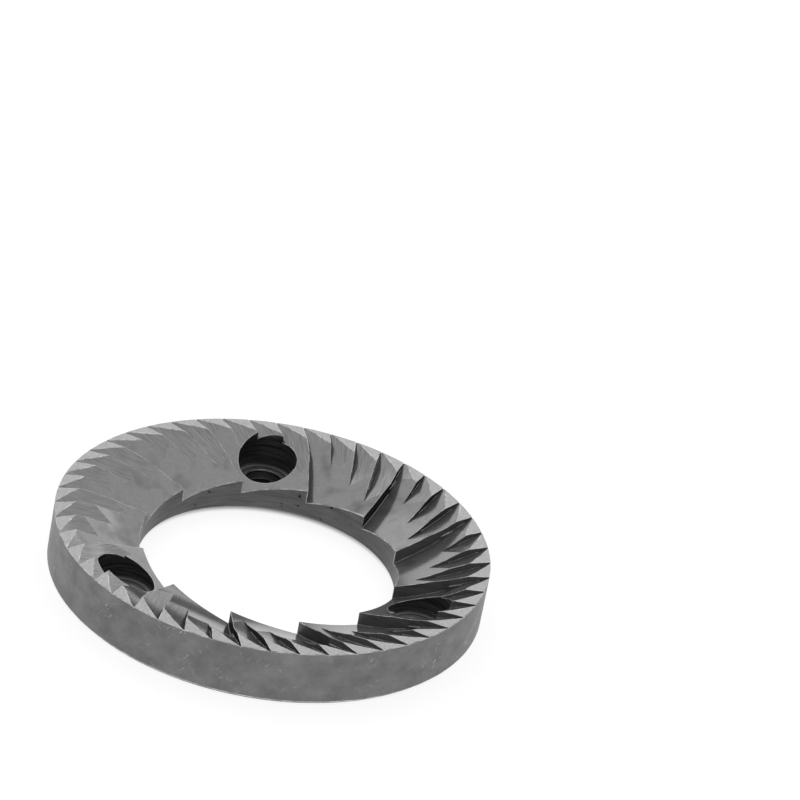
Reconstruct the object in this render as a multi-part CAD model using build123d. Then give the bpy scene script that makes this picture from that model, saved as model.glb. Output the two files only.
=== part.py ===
import os
from math import asin, cos, radians, sin, sqrt

from build123d import *

# Ring blank, as for a common 64 mm flat burr
outer_d = 64.0
bore_d = 38.0
height = 8.5
recess_d = 58.3
recess_depth = 0.9
recess_corner_r = 0.7
back_edge_chamfer = 0.5
bore_edge_chamfer = 0.25

# Fine grooves: straight in plan, all tangent to one circle about the axis,
# cut by a disc with one upright side and one sloped side
fine_count = 48
fine_first = 20.58
fine_tangent_r = 10.2
fine_cutter_r = 40.9
fine_centre_in = 14.1
fine_slope = 0.447
fine_depth_at_rim = 0.11

# Coarse grooves: one for every four fine ones, from just inside the rim to the bore
coarse_count = 12
coarse_first = 18.83
coarse_tangent_r = 6.0
coarse_cutter_r = 36.2
coarse_centre_in = 21.3
coarse_slope = 0.348
coarse_max_depth = 5.91

# Screw holes, one of them on the +Y axis
hole_count = 3
hole_circle_d = 49.0
hole_first = 90.0
hole_d = 5.6
hole_edge_chamfer = 0.3
counterbore_d = 8.7
ledge_z = 2.75

outer_r = outer_d / 2
bore_r = bore_d / 2
upright = (Align.CENTER, Align.CENTER, Align.MIN)


def turned_blank():
    """Ring with a flat toothed side on top and a raised ground rim on the back."""
    recess_r = recess_d / 2
    floor_end = (recess_r - recess_corner_r, recess_depth)
    wall_start = (recess_r, recess_depth - recess_corner_r)
    corner = RadiusArc(floor_end, wall_start, recess_corner_r)
    rest = Polyline(
        wall_start,
        (recess_r, 0),
        (outer_r - back_edge_chamfer, 0),
        (outer_r, back_edge_chamfer),
        (outer_r, height),
        (bore_r, height),
        (bore_r, recess_depth + bore_edge_chamfer),
        (bore_r + bore_edge_chamfer, recess_depth),
        floor_end,
    )
    return revolve(Plane.XZ * make_face([corner, rest]), Axis.Z)


def groove_cutter(rim_angle, tangent_r, cutter_r, centre_in, centre_up, slope):
    """Disc with its flat side upright on the tooth line that starts at rim_angle."""
    heading = radians(rim_angle + 180) + asin(tangent_r / outer_r)
    inward = Vector(cos(heading), sin(heading), 0)
    clockwise = Vector(-inward.Y, inward.X, 0)
    rim_point = Vector(outer_r, 0, 0).rotate(Axis.Z, rim_angle)
    centre = rim_point + inward * centre_in + Vector(0, 0, height + centre_up)
    width = (cutter_r - centre_up) / slope + 0.5
    disc = Cone(cutter_r, cutter_r - width * slope, width, align=upright)
    return Plane(origin=centre, x_dir=Vector(0, 0, 1), z_dir=clockwise) * disc


def screw_hole(angle):
    """Through hole with a flat counterbore from the toothed side."""
    place = Pos(Vector(hole_circle_d / 2, 0, 0).rotate(Axis.Z, angle))
    through = Cylinder(hole_d / 2, height, align=upright)
    counterbore = Pos(0, 0, ledge_z) * Cylinder(counterbore_d / 2, height, align=upright)
    mouth_r = hole_d / 2 + hole_edge_chamfer
    mouth = Pos(0, 0, recess_depth) * Cone(mouth_r, hole_d / 2, hole_edge_chamfer, align=upright)
    return place * (through + counterbore + mouth)


fine_centre_up = sqrt(fine_cutter_r**2 - fine_centre_in**2) - fine_depth_at_rim
coarse_centre_up = coarse_cutter_r - coarse_max_depth

burr = turned_blank()
for i in range(fine_count):
    burr -= groove_cutter(
        fine_first + i * 360 / fine_count,
        fine_tangent_r,
        fine_cutter_r,
        fine_centre_in,
        fine_centre_up,
        fine_slope,
    )
for i in range(coarse_count):
    burr -= groove_cutter(
        coarse_first + i * 360 / coarse_count,
        coarse_tangent_r,
        coarse_cutter_r,
        coarse_centre_in,
        coarse_centre_up,
        coarse_slope,
    )
for i in range(hole_count):
    burr -= screw_hole(hole_first + i * 360 / hole_count)

os.makedirs("parts", exist_ok=True)
export_step(burr, "parts/burr.step")
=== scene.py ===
import math
from collections import namedtuple

import bmesh
import bpy
from mathutils import Matrix, Vector


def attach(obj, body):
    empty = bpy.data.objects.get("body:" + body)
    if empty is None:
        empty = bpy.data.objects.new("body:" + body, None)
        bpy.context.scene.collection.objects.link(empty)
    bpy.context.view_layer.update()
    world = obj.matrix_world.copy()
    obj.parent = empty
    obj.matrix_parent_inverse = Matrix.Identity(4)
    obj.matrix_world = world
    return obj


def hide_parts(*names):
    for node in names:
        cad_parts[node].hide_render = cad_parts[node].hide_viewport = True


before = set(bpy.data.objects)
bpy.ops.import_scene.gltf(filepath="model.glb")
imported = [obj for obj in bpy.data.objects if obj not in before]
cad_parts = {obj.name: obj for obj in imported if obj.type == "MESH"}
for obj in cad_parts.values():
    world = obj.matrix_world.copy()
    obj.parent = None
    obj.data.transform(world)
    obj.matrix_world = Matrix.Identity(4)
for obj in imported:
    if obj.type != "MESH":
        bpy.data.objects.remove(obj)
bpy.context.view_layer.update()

MM = 0.001

# Ring, in millimetres
OUTER_R = 32.0
BORE_R = 19.0
TOP_Z = 8.5
RECESS_R = 29.15
RECESS_DEPTH = 0.9
RECESS_CORNER_R = 0.7
BORE_EDGE_CHAMFER = 0.25
RING_AXIS = Vector((0, 0))

# Screw holes, sunk from the toothed side
HOLE_CIRCLE_R = 24.5
HOLE_ANGLES = (90, 210, 330)
HOLE_R = 2.8
HOLE_EDGE_CHAMFER = 0.3
COUNTERBORE_R = 4.35
LEDGE_Z = 2.75
HOLE_AXES = [Matrix.Rotation(math.radians(angle), 2) @ Vector((HOLE_CIRCLE_R, 0)) for angle in HOLE_ANGLES]

# Grooves: the tooth lines start at the rim and are tangent to one circle. The disc cutter has its flat
# side on the line, and its centre stands so far from the rim inwards and over the lands
Grooves = namedtuple("Grooves", "count first_angle tangent_r cutter_r centre_in centre_up slope")
FINE_CUTTER_R = 40.9
FINE_CENTRE_IN = 14.1
FINE_DEPTH_AT_RIM = 0.11
FINE_CENTRE_UP = math.sqrt(FINE_CUTTER_R**2 - FINE_CENTRE_IN**2) - FINE_DEPTH_AT_RIM
FINE = Grooves(count=48, first_angle=20.58, tangent_r=10.2, cutter_r=FINE_CUTTER_R,
               centre_in=FINE_CENTRE_IN, centre_up=FINE_CENTRE_UP, slope=0.447)
COARSE_CUTTER_R = 36.2
COARSE_MAX_DEPTH = 5.91
COARSE = Grooves(count=12, first_angle=18.83, tangent_r=6.0, cutter_r=COARSE_CUTTER_R,
                 centre_in=21.3, centre_up=COARSE_CUTTER_R - COARSE_MAX_DEPTH, slope=0.348)
GROOVE_REACH = 20.0  # length of a tooth line, from the rim to inside the bore
WALL_SLACK = 0.1  # a point this little behind a tooth line still counts as on it

# Strips along the corners
EDGE_BREAK = 0.1  # width of the worn edge along each sharp corner
EDGE_STEPS = 3
ROOT_RADIUS = 0.1  # rounding between a tooth's wall and the floor before it
ROOT_STEPS = 1
STRIP_FULLNESS = 0.75  # 0.5 is round, 1 is sharp
SHARP_ANGLE = math.radians(28)
EDGE_MIN_WALL = 0.05  # lower walls have no room for a worn edge
ROOT_MIN_WALL = 0.35  # lower walls have no room for a rounded root
BEHIND_WALL = 0.15  # how far behind and before a wall its height is read
BEFORE_WALL = 0.02
UNWORN = ({"recess"}, {"bore"}, {"wall", "counterbore"})  # finishes whose corners stay as they are

# Reading the solid's faces
SURFACE_FIT = 0.03  # how near a face lies to the surface that it belongs to
UPRIGHT = 0.05  # most that an upright face's direction may rise or fall
LEVEL = 0.99  # least that a level face's direction rises or falls
DRILLED = 0.97  # least that a hole wall's direction goes towards the hole's axis
SAME_POINT = 0.002  # corners of neighbouring faces lie within this of each other
SLIVER = 0.001  # thinner faces are dissolved


def srgb(hex_colour):
    """Linear RGBA of an sRGB hex colour."""
    values = [int(hex_colour[i:i + 2], 16) / 255 for i in (1, 3, 5)]
    linear = [v / 12.92 if v <= 0.04045 else ((v + 0.055) / 1.055) ** 2.4 for v in values]
    return (*linear, 1.0)


def add(tree, kind, links=None, **settings):
    """One node with its settings; links maps an input's name or number to a value or an output."""
    node = tree.nodes.new(kind)
    for name, value in settings.items():
        setattr(node, name, value)
    for key, value in (links or {}).items():
        if isinstance(value, bpy.types.NodeSocket):
            tree.links.new(value, node.inputs[key])
        else:
            node.inputs[key].default_value = value
    return node


def new_material(name):
    """Empty material, its tree and the position on the ring."""
    material = bpy.data.materials.new(name)
    material.use_nodes = True
    tree = material.node_tree
    tree.nodes.clear()
    return material, tree, add(tree, "ShaderNodeTexCoord").outputs["Object"]


# Halvings of the grain's size down to its finest part, and how strongly the finer parts show
FINE_DETAIL = 6.0
SOFT_DETAIL = 2.0
GRAIN_ROUGHNESS = 0.6


def grain(tree, place, size_mm, detail=FINE_DETAIL):
    """Cloudy pattern from 0 to 1, whose largest clouds have this size along x, y and z."""
    stretch = [1 / (size * MM) for size in size_mm]
    scaled = add(tree, "ShaderNodeVectorMath", {0: place, 1: stretch}, operation="MULTIPLY")
    noise = {"Vector": scaled.outputs[0], "Scale": 1.0, "Detail": detail,
             "Roughness": GRAIN_ROUGHNESS}
    return add(tree, "ShaderNodeTexNoise", noise).outputs["Fac"]


def clouds(*size_mm):
    """Pattern of the metal's own grain, which runs in lines where one size is much larger."""
    return lambda tree, place: grain(tree, place, size_mm)


def turned_place(tree, axes, circle_r, lean, reach):
    """Place on a circle, by the turn about the ring's axis and the lean; its z is the reach."""
    turn = add(tree, "ShaderNodeMath", {0: axes["Y"], 1: axes["X"]}, operation="ARCTAN2").outputs[0]
    line = add(tree, "ShaderNodeMath", {0: turn, 1: lean}, operation="ADD").outputs[0]
    east = add(tree, "ShaderNodeMath", {0: line}, operation="COSINE").outputs[0]
    north = add(tree, "ShaderNodeMath", {0: line}, operation="SINE").outputs[0]
    unit = add(tree, "ShaderNodeCombineXYZ", {"X": east, "Y": north, "Z": reach}).outputs[0]
    size = (circle_r * MM, circle_r * MM, 1)
    return add(tree, "ShaderNodeVectorMath", {0: unit, 1: size}, operation="MULTIPLY").outputs[0]


# Real streaks of the cutter are about 0.05 mm apart; they are drawn 0.15 mm apart so that they show
STREAK_SIZE = (0.15, 0.15, 2.5)
STREAK_CIRCLE_R = 27.0


def cutter_streaks(tangent_r):
    """Pattern of lines that run along the teeth, as the disc cutter left them."""
    def pattern(tree, place):
        axes = add(tree, "ShaderNodeSeparateXYZ", {0: place}).outputs
        level = add(tree, "ShaderNodeCombineXYZ", {"X": axes["X"], "Y": axes["Y"]}).outputs[0]
        radius = add(tree, "ShaderNodeVectorMath", {0: level}, operation="LENGTH").outputs["Value"]
        ratio = add(tree, "ShaderNodeMath", {0: tangent_r * MM, 1: radius}, operation="DIVIDE").outputs[0]
        lean = add(tree, "ShaderNodeMath", {0: ratio}, operation="ARCSINE").outputs[0]
        return grain(tree, turned_place(tree, axes, STREAK_CIRCLE_R, lean, radius), STREAK_SIZE)
    return pattern


# Rings on the ledge round a screw hole, by their radius: where each band starts to show and is full
LEDGE_BRIGHT_BAND = (3.65, 3.8)
LEDGE_GREY_BAND = (3.6, 3.4)
LEDGE_GREY = 0.5


def ledge_rings(tree, place):
    """Bright band outside, a dark ring, and a greyer band round the screw hole."""
    level = add(tree, "ShaderNodeVectorMath", {0: place, 1: (1, 1, 0)}, operation="MULTIPLY").outputs[0]
    gaps = [add(tree, "ShaderNodeVectorMath", {0: level, 1: (*(axis * MM), 0)},
                operation="DISTANCE").outputs["Value"] for axis in HOLE_AXES]
    near = gaps[0]
    for gap in gaps[1:]:
        near = add(tree, "ShaderNodeMath", {0: near, 1: gap}, operation="MINIMUM").outputs[0]
    bright = add(tree, "ShaderNodeMapRange", {"Value": near, "From Min": LEDGE_BRIGHT_BAND[0] * MM,
                                              "From Max": LEDGE_BRIGHT_BAND[1] * MM}).outputs[0]
    grey = add(tree, "ShaderNodeMapRange", {"Value": near, "From Min": LEDGE_GREY_BAND[0] * MM,
                                            "From Max": LEDGE_GREY_BAND[1] * MM,
                                            "To Max": LEDGE_GREY}).outputs[0]
    return add(tree, "ShaderNodeMath", {0: bright, 1: grey}, operation="MAXIMUM").outputs[0]


def spots(size_mm, start, end, detail):
    """Marks where the grain is high: none up to the start, full from the end on."""
    return lambda tree, place: add(tree, "ShaderNodeMapRange", {
        "Value": grain(tree, place, size_mm, detail), "From Min": start, "From Max": end}).outputs[0]


# Scratches on the side: each set's lean, in radians round the ring for each millimetre of height
SCUFF_LEANS = (0.03, -0.02)
SCUFF_SIZE = (0.46, 0.46, 1.1)
SCUFF_STEP = (0.58, 0.76)  # values of the grain at which a scratch starts to show and is full
PATCH_SIZE = (2.9, 2.9, 2.9)  # patches that have the second set instead of the first
PATCH_STEP = (0.47, 0.53)
CROWD_SIZE = (5.0, 5.0, 3.3)  # areas that have scratches at all
CROWD_STEP = (0.48, 0.66)


def scuffs(tree, place):
    """Short scratches that lean one way in some patches and the other way elsewhere."""
    axes = add(tree, "ShaderNodeSeparateXYZ", {0: place}).outputs
    sets = []
    for lean_per_mm in SCUFF_LEANS:
        lean = add(tree, "ShaderNodeMath", {0: axes["Z"], 1: lean_per_mm / MM}, operation="MULTIPLY")
        round_side = turned_place(tree, axes, OUTER_R, lean.outputs[0], axes["Z"])
        sets.append(grain(tree, round_side, SCUFF_SIZE, detail=SOFT_DETAIL))
    patch = spots(PATCH_SIZE, *PATCH_STEP, detail=SOFT_DETAIL)(tree, place)
    mixed = add(tree, "ShaderNodeMix", {"Factor": patch, "A": sets[0], "B": sets[1]}).outputs["Result"]
    thin = add(tree, "ShaderNodeMapRange", {"Value": mixed, "From Min": SCUFF_STEP[0],
                                            "From Max": SCUFF_STEP[1]}).outputs[0]
    crowd = spots(CROWD_SIZE, *CROWD_STEP, detail=FINE_DETAIL)(tree, place)
    return add(tree, "ShaderNodeMath", {0: thin, 1: crowd}, operation="MULTIPLY").outputs[0]


def steel(name, pattern, dark, light, roughness, spread=(0.3, 0.7), relief_mm=0.0, metallic=1.0,
          grazing="#ffffff", marks=None, mark_colour="#000000"):
    """Steel that goes from dark to light as its pattern crosses the spread, with marks over it."""
    material, tree, place = new_material(name)
    value = pattern(tree, place)
    share = add(tree, "ShaderNodeMapRange", {"Value": value, "From Min": spread[0], "From Max": spread[1]})
    tone = add(tree, "ShaderNodeMix", {"Factor": share.outputs[0], "A": srgb(dark), "B": srgb(light)},
               data_type="RGBA")
    if marks:
        tone = add(tree, "ShaderNodeMix", {"Factor": marks(tree, place), "A": tone.outputs["Result"],
                                           "B": srgb(mark_colour)}, data_type="RGBA")
    shader = add(tree, "ShaderNodeBsdfPrincipled", {
        "Base Color": tone.outputs["Result"], "Metallic": metallic, "Roughness": roughness,
        "Specular Tint": srgb(grazing)})
    if relief_mm:
        bump = add(tree, "ShaderNodeBump", {"Height": value, "Strength": 1.0, "Distance": relief_mm * MM})
        tree.links.new(bump.outputs[0], shader.inputs["Normal"])
    add(tree, "ShaderNodeOutputMaterial", {"Surface": shader.outputs["BSDF"]})
    return material


# Each finish has the size of its grain in millimetres along x, y and z, its dark and light colours and
# its roughness
FINISHES = {
    # Ground flat after hardening: the lightest faces, finely speckled
    "land": steel("ground tool steel land", clouds(0.33, 0.5, 1.0), "#a2a2a2", "#bababa", 0.32),
    # Milled by a thin disc cutter: mid grey with streaks along the teeth
    "fine floor": steel("milled tool steel fine groove", cutter_streaks(FINE.tangent_r), "#848484", "#a6a6a6",
                        0.17, spread=(0.36, 0.64), relief_mm=0.005, metallic=0.7, grazing="#c8c8c8"),
    # Milled by a wide disc cutter: the same grey, smoother, with soft dark stains
    "coarse floor": steel("milled tool steel coarse groove", clouds(0.5, 0.5, 0.5), "#969696", "#a4a4a4",
                          0.16, metallic=0.65, grazing="#d0d0d0",
                          marks=spots((4.0, 4.0, 4.0), 0.52, 0.85, detail=FINE_DETAIL),
                          mark_colour="#606060"),
    # Cut by the flat side of the cutter; its darker colour and near-black grazing tint are painted shade of
    # the deep grooves
    "wall": steel("tool steel tooth wall with painted shade", clouds(2.5, 2.5, 0.33), "#686868", "#7c7c7c", 0.35,
                  grazing="#101010"),
    # Tumbled: mottled, dull grey, with light scratches
    "side": steel("tumbled tool steel side", clouds(3.3, 3.3, 2.5), "#6c6c6c", "#8a8a8a", 0.5,
                  spread=(0.25, 0.75), marks=scuffs, mark_colour="#b8b8b8"),
    # Turned: fine rings round the bore, with a few dark pits
    "bore": steel("turned tool steel bore", clouds(4.0, 4.0, 0.4), "#505050", "#686868", 0.45,
                  marks=spots((1.1, 1.1, 0.9), 0.68, 0.73, detail=SOFT_DETAIL), mark_colour="#1a1a1a"),
    # Drilled: nearly black, with rings from the drill
    "counterbore": steel("drilled tool steel counterbore", clouds(6.7, 6.7, 0.33), "#4c4c4c", "#848484", 0.5,
                         spread=(0.4, 0.65)),
    # Faced by the same drill: rings, lighter than the wall round it
    "ledge": steel("faced tool steel ledge", ledge_rings, "#585858", "#d0d0d0", 0.55, spread=(0.0, 1.0)),
    # Ground flat: bright, with straight grinding lines
    "back rim": steel("ground tool steel back rim", clouds(5.0, 0.2, 1.0), "#b0b0b0", "#dadada", 0.35),
    # Turned: dull and darker
    "recess": steel("turned tool steel recess", clouds(2.0, 2.0, 2.0), "#747474", "#868686", 0.42),
    # Worn along the sharp corners: bare in places, and a lighter colour that is partly a painted highlight of
    # the rounded edges
    "edge": steel("worn tool steel edge with painted highlight", clouds(1.25, 1.25, 1.25), "#989898", "#d4d4d4", 0.35,
                  spread=(0.4, 0.6)),
    # Rounded by the cutter's own corner between wall and floor: its light colour is a painted highlight on
    # the rounding
    "root": steel("milled tool steel groove root with painted highlight", clouds(1.7, 1.7, 1.7), "#909090", "#d8d8d8", 0.35,
                  spread=(0.35, 0.65)),
}
FINISH_NAMES = list(FINISHES)


def groove_lines(grooves):
    """Rim point, inward direction and clockwise direction of each tooth line, in plan."""
    lines = []
    for i in range(grooves.count):
        rim = math.radians(grooves.first_angle + i * 360 / grooves.count)
        heading = rim + math.pi + math.asin(grooves.tangent_r / OUTER_R)
        start = Vector((OUTER_R * math.cos(rim), OUTER_R * math.sin(rim)))
        inward = Vector((math.cos(heading), math.sin(heading)))
        lines.append((start, inward, Vector((-inward.y, inward.x))))
    return lines


FLOORS = [("fine floor", FINE, line) for line in groove_lines(FINE)]
FLOORS += [("coarse floor", COARSE, line) for line in groove_lines(COARSE)]


def from_line(point, line):
    """How far a point lies clockwise from a tooth line, and how far along it from the rim."""
    start, inward, clockwise = line
    off = point.xy - start
    return off.dot(clockwise), off.dot(inward)


def floor_gap(point, grooves, line):
    """Height of a point over a groove's floor, or minus infinity where the groove doesn't reach."""
    across, along = from_line(point, line)
    drop = (grooves.cutter_r - across * grooves.slope) ** 2 - (along - grooves.centre_in) ** 2
    if across < -WALL_SLACK or along > GROOVE_REACH or drop <= 0:
        return -math.inf
    return point.z - (TOP_Z + grooves.centre_up - math.sqrt(drop))


def floor_normal(point, grooves, line):
    """Direction in which a groove's floor faces at a point on it."""
    inward, clockwise = line[1:]
    across, along = from_line(point, line)
    lean = grooves.slope * (grooves.cutter_r - across * grooves.slope)
    plan = -clockwise * lean - inward * (along - grooves.centre_in)
    return Vector((*plan, TOP_Z + grooves.centre_up - point.z)).normalized()


def top_height(place):
    """Height of the toothed side at a place in plan."""
    return min([TOP_Z] + [place.z - floor_gap(place, grooves, line) for _, grooves, line in FLOORS])


def wall_height(edge, wall):
    """Least height of a tooth's wall along one of its edges, from the surfaces behind and before it."""
    ends = [vert.co / MM for vert in edge.verts]
    return min(top_height(end - wall.normal * BEHIND_WALL) - top_height(end + wall.normal * BEFORE_WALL)
               for end in ends)


def turned_normal(point, axis, normal):
    """Direction faced at a point of a surface turned about an upright axis, from that of one face of it."""
    out = (point.xy - axis).normalized()
    level = math.copysign(normal.xy.length, out.dot(normal.xy))
    return Vector((out.x * level, out.y * level, normal.z))


def corner_normal(point):
    """Direction faced at a point of the rounding between the recess and the rim."""
    plan = point.xy.normalized() * (RECESS_R - RECESS_CORNER_R - point.xy.length)
    return Vector((*plan, RECESS_DEPTH - RECESS_CORNER_R - point.z)).normalized()


def back_surface(radius, normal, flat, turned):
    """Finish and facing of a face on the back: rim, chamfers or recess."""
    level = normal.z < -LEVEL
    if radius > RECESS_R:
        return ("back rim", flat) if level else ("side", turned)
    if radius < BORE_R + BORE_EDGE_CHAMFER and not level:
        return "bore", turned
    in_corner = radius > RECESS_R - RECESS_CORNER_R and -LEVEL < normal.z < -UPRIGHT
    return "recess", corner_normal if in_corner else turned


def surface_of(centre, normal):
    """Finish of a face of the ring, and a function that gives the exact direction its surface faces."""
    def flat(point):
        return normal

    def turned(point):
        return turned_normal(point, RING_AXIS, normal)

    radius = centre.xy.length
    upright = abs(normal.z) < UPRIGHT
    if upright and radius > OUTER_R - SURFACE_FIT:
        return "side", turned
    if upright and radius < BORE_R + SURFACE_FIT:
        return "bore", turned
    for axis in HOLE_AXES:
        off = centre.xy - axis
        inwards = -off.normalized().dot(normal.xy)
        in_wall = upright and off.length < COUNTERBORE_R + SURFACE_FIT and inwards > DRILLED
        in_mouth = -LEVEL < normal.z < -UPRIGHT and off.length < HOLE_R + HOLE_EDGE_CHAMFER
        if in_wall or in_mouth:
            return "counterbore", lambda point: turned_normal(point, axis, normal)
    if upright and centre.z > RECESS_DEPTH:
        return "wall", flat
    if centre.z < RECESS_DEPTH + BORE_EDGE_CHAMFER:
        return back_surface(radius, normal, flat, turned)
    for name, height in (("land", TOP_Z), ("ledge", LEDGE_Z)):
        if normal.z > LEVEL and abs(centre.z - height) < SURFACE_FIT:
            return name, flat
    name, grooves, line = min(FLOORS, key=lambda floor: abs(floor_gap(centre, *floor[1:])))
    if abs(floor_gap(centre, grooves, line)) < SURFACE_FIT:
        return name, lambda point: floor_normal(point, grooves, line)
    return "wall", flat


def sharp_edges(skin, finish_of):
    """Outer corners, apart from unworn ones and those too short or too low for a strip."""
    found = []
    for edge in skin.edges:
        too_short = edge.calc_length() < EDGE_BREAK * MM
        if edge.calc_face_angle_signed() < SHARP_ANGLE or too_short:
            continue
        walls = [face for face in edge.link_faces if finish_of(face) == "wall"]
        too_low = walls and wall_height(edge, walls[0]) < EDGE_MIN_WALL
        if not too_low and {finish_of(face) for face in edge.link_faces} not in UNWORN:
            found.append(edge)
    return found


def root_edges(skin, finish_of):
    """Inner corners at the foot of the tooth walls."""
    found = []
    for edge in skin.edges:
        if edge.calc_face_angle_signed() < -SHARP_ANGLE:
            walls = [face for face in edge.link_faces if finish_of(face) == "wall"]
            if len(walls) == 1 and wall_height(edge, walls[0]) > ROOT_MIN_WALL:
                found.append(edge)
    return found


def break_edges(skin, owner, edges, width_mm, steps, mark):
    """Narrow strips along each of the edges; their faces carry the mark instead of an owner."""
    made = bmesh.ops.bevel(skin, geom=edges, offset=width_mm * MM, offset_type="OFFSET", segments=steps,
                           profile=STRIP_FULLNESS, affect="EDGES", clamp_overlap=False, loop_slide=True,
                           material=-1)
    for face in made["faces"]:
        face[owner] = mark
    skin.normal_update()


def exact_shading(skin, owner, surfaces):
    """Direction for each face corner: the surface's own one, and on strips the mean of those beside them."""
    beside = {}
    for face in skin.faces:
        facing = surfaces[face[owner]][1]
        if facing:
            for vert in face.verts:
                beside.setdefault(vert, []).append(facing(vert.co / MM))
    shading = []
    for face in skin.faces:
        facing = surfaces[face[owner]][1]
        for vert in face.verts:
            if facing:
                shading.append(facing(vert.co / MM))
            else:
                shading.append(sum(beside.get(vert, [face.normal]), Vector()).normalized())
    return shading


def burr_ring():
    """The ring's own solid as one closed skin: broken edges, a finish for each face, exact shading."""
    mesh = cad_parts["burr"].data.copy()
    mesh.name = "burr_ring"
    mesh.materials.clear()
    for material in FINISHES.values():
        mesh.materials.append(material)
    skin = bmesh.new()
    skin.from_mesh(mesh)
    bmesh.ops.remove_doubles(skin, verts=skin.verts, dist=SAME_POINT * MM)
    skin.normal_update()

    owner = skin.faces.layers.int.new("owner")
    strips = ["edge", "root"]
    surfaces = [(name, None) for name in strips]
    for face in skin.faces:
        face[owner] = len(surfaces)
        surfaces.append(surface_of(face.calc_center_median() / MM, face.normal.copy()))

    def finish_of(face):
        return surfaces[face[owner]][0]

    break_edges(skin, owner, sharp_edges(skin, finish_of), EDGE_BREAK, EDGE_STEPS, strips.index("edge"))
    break_edges(skin, owner, root_edges(skin, finish_of), ROOT_RADIUS, ROOT_STEPS, strips.index("root"))
    bmesh.ops.dissolve_degenerate(skin, dist=SLIVER * MM, edges=skin.edges)
    for vert in skin.verts:  # where strips meet, a corner can stand a little over the lands
        vert.co.z = min(vert.co.z, TOP_Z * MM)
    skin.normal_update()

    for face in skin.faces:
        face.material_index = FINISH_NAMES.index(finish_of(face))
    shading = exact_shading(skin, owner, surfaces)
    skin.to_mesh(mesh)
    skin.free()
    mesh.normals_split_custom_set(shading)
    piece = bpy.data.objects.new("burr_ring", mesh)
    bpy.context.scene.collection.objects.link(piece)
    return piece


burr = burr_ring()
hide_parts("burr")
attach(burr, "root")

# Camera: long lens, looking down on the teeth, rolled a little
PART_TURN = math.radians(-8.0)
PITCH = math.radians(29.04)
ROLL = math.radians(11.04)
FOCAL_PX = 4905.64
IMAGE_PX = 800
SENSOR_MM = 36.0
CAMERA_MM = (14.323, -611.284, 373.457)
CLIP_START_M = 0.01


def place_camera():
    """Camera where the ring is seen as in the picture, with its lens from the focal length in pixels."""
    right = Vector((1, 0, 0))
    down = Vector((0, -math.sin(PITCH), -math.cos(PITCH)))
    forward = Vector((0, math.cos(PITCH), -math.sin(PITCH)))
    rolled_right = right * math.cos(ROLL) - down * math.sin(ROLL)
    rolled_down = right * math.sin(ROLL) + down * math.cos(ROLL)
    turn = Matrix.Rotation(PART_TURN, 3, "Z")
    columns = [turn @ direction for direction in (rolled_right, -rolled_down, -forward)]
    matrix = Matrix(columns).transposed().to_4x4()
    matrix.translation = turn @ (Vector(CAMERA_MM) * MM)
    data = bpy.data.cameras.new("camera")
    data.sensor_width = SENSOR_MM
    data.lens = FOCAL_PX * SENSOR_MM / IMAGE_PX
    data.clip_start = CLIP_START_M
    camera = bpy.data.objects.new("camera", data)
    camera.matrix_world = matrix
    bpy.context.scene.collection.objects.link(camera)
    bpy.context.scene.camera = camera


place_camera()


def softbox(name, place, size, brightness):
    """Area lamp that faces the ring, in metres; a brightness of 1 shows as white."""
    data = bpy.data.lights.new(name, "AREA")
    data.shape = "RECTANGLE"
    data.size, data.size_y = size
    data.energy = brightness * math.pi * size[0] * size[1]
    lamp = bpy.data.objects.new(name, data)
    lamp.location = place
    lamp.rotation_euler = (-Vector(place)).to_track_quat("-Z", "Y").to_euler()
    bpy.context.scene.collection.objects.link(lamp)


# Soft light from above, from behind and from the left
softbox("overhead softbox", (0.0, 0.2, 0.9), (2.0, 1.7), 0.56)
softbox("backdrop softbox", (0.1, 0.95, 0.36), (1.8, 0.62), 0.85)
softbox("left softbox", (-1.0, 0.3, 0.4), (0.8, 0.7), 0.6)

# The paper is white up to just under the ring's edges; further in, a painted shadow makes it black
FLOOR_HALF_M = 3.0
SHADE_START = 0.5
SHADE_FULL = 2.0


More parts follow.
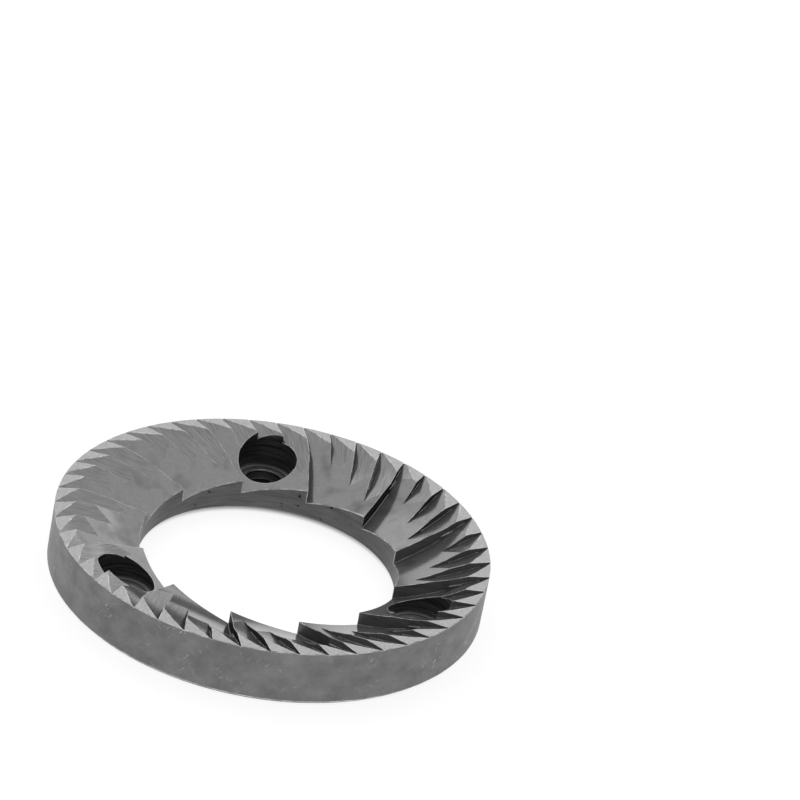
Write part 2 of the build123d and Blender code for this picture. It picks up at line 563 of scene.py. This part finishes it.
def white_floor():
    """Matt white paper that shows as white and still takes the ring's shadow, with a painted shadow that
    makes it black under the ring.
    """
    material, tree, place = new_material("matt white paper floor")
    path = add(tree, "ShaderNodeLightPath").outputs
    seen = add(tree, "ShaderNodeMath", {0: path["Is Camera Ray"], 1: path["Is Glossy Ray"]},
               operation="MAXIMUM")
    seen = add(tree, "ShaderNodeMath", {0: seen.outputs[0], 1: path["Is Transmission Ray"]},
               operation="MAXIMUM")
    # Painted shadow under the ring: the paper's glow fades to nothing from just inside the ring's edges
    radius = add(tree, "ShaderNodeVectorMath", {0: place}, operation="LENGTH").outputs["Value"]
    outside = add(tree, "ShaderNodeMapRange", {"Value": radius, "From Min": (OUTER_R - SHADE_FULL) * MM,
                                               "From Max": (OUTER_R - SHADE_START) * MM})
    inside = add(tree, "ShaderNodeMapRange", {"Value": radius, "From Min": (BORE_R + SHADE_FULL) * MM,
                                              "From Max": (BORE_R + SHADE_START) * MM})
    clear_of_painted_shadow = add(tree, "ShaderNodeMath", {0: outside.outputs[0], 1: inside.outputs[0]}, operation="MAXIMUM")
    glow = add(tree, "ShaderNodeMath", {0: seen.outputs[0], 1: clear_of_painted_shadow.outputs[0]}, operation="MULTIPLY")
    white = add(tree, "ShaderNodeEmission", {"Color": srgb("#ececec"), "Strength": glow.outputs[0]})
    paper = add(tree, "ShaderNodeBsdfDiffuse", {"Color": srgb("#a0a0a0")})
    both = add(tree, "ShaderNodeAddShader", {0: paper.outputs[0], 1: white.outputs[0]})
    add(tree, "ShaderNodeOutputMaterial", {"Surface": both.outputs[0]})
    mesh = bpy.data.meshes.new("floor")
    corners = [(x * FLOOR_HALF_M, y * FLOOR_HALF_M, 0) for x, y in ((-1, -1), (1, -1), (1, 1), (-1, 1))]
    mesh.from_pydata(corners, [], [(0, 1, 2, 3)])
    mesh.materials.append(material)
    floor = bpy.data.objects.new("floor", mesh)
    bpy.context.scene.collection.objects.link(floor)


white_floor()

world = bpy.data.worlds.new("studio")
bpy.context.scene.world = world
world.use_nodes = True
world.node_tree.nodes["Background"].inputs["Color"].default_value = srgb("#808080")
bpy.context.scene.view_settings.view_transform = "Standard"
